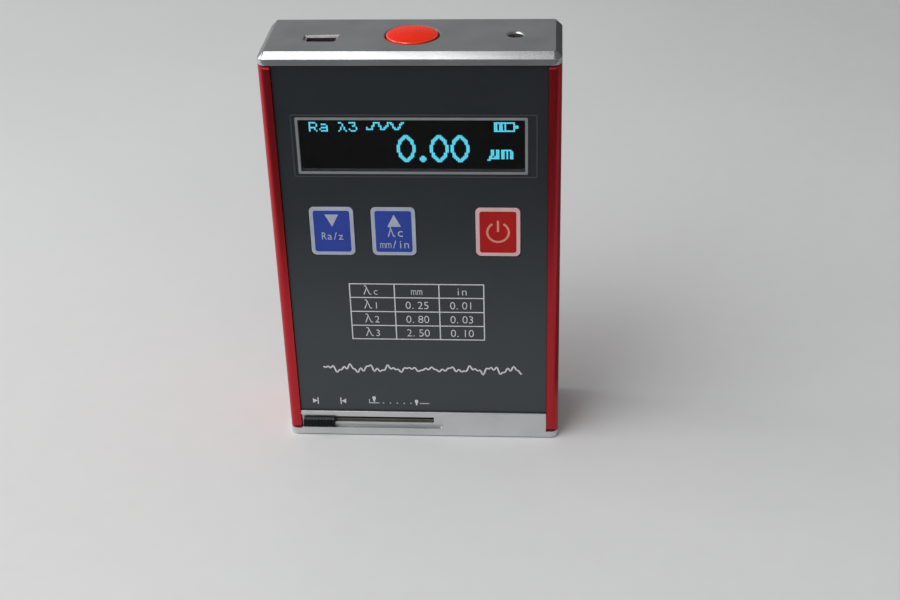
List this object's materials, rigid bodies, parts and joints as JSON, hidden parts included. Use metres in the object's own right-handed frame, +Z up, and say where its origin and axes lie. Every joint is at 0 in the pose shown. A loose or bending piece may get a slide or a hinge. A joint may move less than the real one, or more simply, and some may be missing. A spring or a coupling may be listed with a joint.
{
  "type": "surface roughness tester",
  "caption": "Pocket surface roughness tester: red metal sleeve with metal caps, display, keys, start button, sliding stylus door and a driven stylus pick-up inside.",
  "frame": {"origin": "middle of the measuring face that it stands on", "axes": "+Z up towards the start button, +X to the right seen from the front, +Y to the back"},
  "size_m": [0.07, 0.0247, 0.1068],
  "materials": {
    "red_anodised": "satin red anodised aluminium",
    "blasted_aluminium": "bead-blasted aluminium",
    "grey_film": "matte printed polycarbonate film",
    "clear_lens": "clear polycarbonate",
    "display_glass": "black display glass",
    "circuit_board": "green solder mask",
    "brass": "turned brass",
    "black_plastic": "moulded black plastic",
    "switch_plastic": "moulded grey plastic",
    "bright_steel": "bright steel",
    "lamp_resin": "tinted clear resin",
    "battery_foil": "foil pouch",
    "foam_pad": "adhesive foam",
    "frame_aluminium": "machined aluminium",
    "dark_steel": "blackened steel",
    "button_red": "glossy red plastic",
    "key_blue": "blue printed key",
    "key_red": "red printed key",
    "skid_carbide": "polished hard metal",
    "piezo_ceramic": "sintered ceramic",
    "diamond": "ground diamond"
  },
  "bodies": {
    "case": {"case_sleeve": "red_anodised", "top_cap": "blasted_aluminium", "bottom_cap": "blasted_aluminium", "front_film": "grey_film", "display_lens": "clear_lens", "oled_glass": "display_glass", "oled_board": "circuit_board", "display_spacers": "brass", "display_header": "black_plastic", "main_board": "circuit_board", "board_chips": "black_plastic", "key_switches": "switch_plastic", "start_switch": "switch_plastic", "charge_socket": "bright_steel", "socket_contacts": "black_plastic", "status_lamp": "lamp_resin", "lamp_holder": "black_plastic", "battery": "battery_foil", "battery_pad": "foam_pad", "drive_frame": "frame_aluminium", "gearbox": "brass", "motor_can": "bright_steel", "motor_strap": "bright_steel", "guide_rods": "bright_steel", "screw_bush": "brass", "drive_screws": "dark_steel", "back_screws": "dark_steel"},
    "start_button": {"start_button": "button_red"},
    "key_down": {"key_down": "key_blue"},
    "key_up": {"key_up": "key_blue"},
    "key_power": {"key_power": "key_red"},
    "door": {"door_plate": "dark_steel", "door_knob": "black_plastic"},
    "carriage": {"carriage": "black_plastic", "drive_nut": "brass", "pickup_pin": "bright_steel", "pickup_spring": "bright_steel"},
    "lead_screw": {"lead_screw": "bright_steel", "shaft_coupling": "brass", "motor_shaft": "bright_steel"},
    "pickup": {"pickup_body": "frame_aluminium", "skid": "skid_carbide", "piezo_element": "piezo_ceramic"},
    "stylus": {"stylus_arm": "bright_steel", "stylus_tip": "diamond"}
  },
  "joints": [
    {"name": "start_press", "type": "slide", "parent": "case", "child": "start_button", "axis": [0, 0, -1], "range_m": [0, 0.0008], "stiffness_N_per_m": 400},
    {"name": "key_down_press", "type": "slide", "parent": "case", "child": "key_down", "axis": [0, 1, 0], "range_m": [0, 0.0004], "stiffness_N_per_m": 400},
    {"name": "key_up_press", "type": "slide", "parent": "case", "child": "key_up", "axis": [0, 1, 0], "range_m": [0, 0.0004], "stiffness_N_per_m": 400},
    {"name": "key_power_press", "type": "slide", "parent": "case", "child": "key_power", "axis": [0, 1, 0], "range_m": [0, 0.0004], "stiffness_N_per_m": 400},
    {"name": "door_slide", "type": "slide", "parent": "case", "child": "door", "axis": [1, 0, 0], "range_m": [0, 0.026]},
    {"name": "tracing", "type": "slide", "parent": "case", "child": "carriage", "axis": [1, 0, 0], "range_m": [0, 0.006]},
    {"name": "screw_turn", "type": "hinge", "parent": "case", "child": "lead_screw", "pos_m": [0, 0, 0.017], "axis": [-1, 0, 0], "range_deg": [0, 1080.01]},
    {"name": "pickup_lower", "type": "hinge", "parent": "carriage", "child": "pickup", "pos_m": [-0.0125, 0, 0.008], "axis": [0, -1, 0], "range_deg": [0, 13]},
    {"name": "stylus_give", "type": "hinge", "parent": "pickup", "child": "stylus", "pos_m": [-0.01767, 0, 0.0056], "axis": [0, 1, 0], "range_deg": [0, 1.5], "stiffness_Nm_per_rad": 0.002}
  ],
  "couplings": [
    {"joint": "screw_turn", "follows": "tracing", "rad_per_m": 3141.6},
    {"joint": "pickup_lower", "follows": "door_slide", "rad_per_m": 8.7266}
  ]
}
